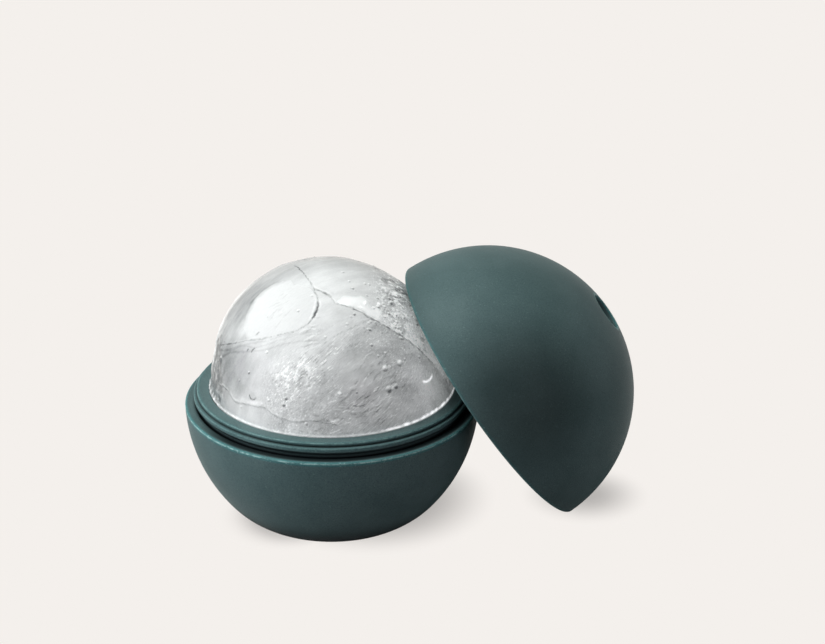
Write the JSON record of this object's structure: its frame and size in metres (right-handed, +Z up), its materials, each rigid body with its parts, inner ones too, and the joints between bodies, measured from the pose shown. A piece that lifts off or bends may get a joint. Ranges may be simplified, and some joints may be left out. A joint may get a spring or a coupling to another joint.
{
  "type": "ice ball mold",
  "caption": "Soft mould for a large ice ball: a footed lower half with a raised snap collar, a frozen ball seated in it, and a domed upper half with a fill hole, leaning on the ball.",
  "frame": {"origin": "centre of the lower half's flat foot, on its axis", "axes": "+Z up along the lower half's axis; +X towards the side where the upper half leans"},
  "size_m": [0.1167, 0.0824, 0.0685],
  "materials": {
    "silicone": "matt moulded silicone, dark green-teal",
    "ice": "clouded clear ice with cracks and fine bubbles"
  },
  "bodies": {
    "root": {"lower_half": "silicone", "upper_half": "silicone", "ice_ball": "ice"}
  },
  "joints": []
}
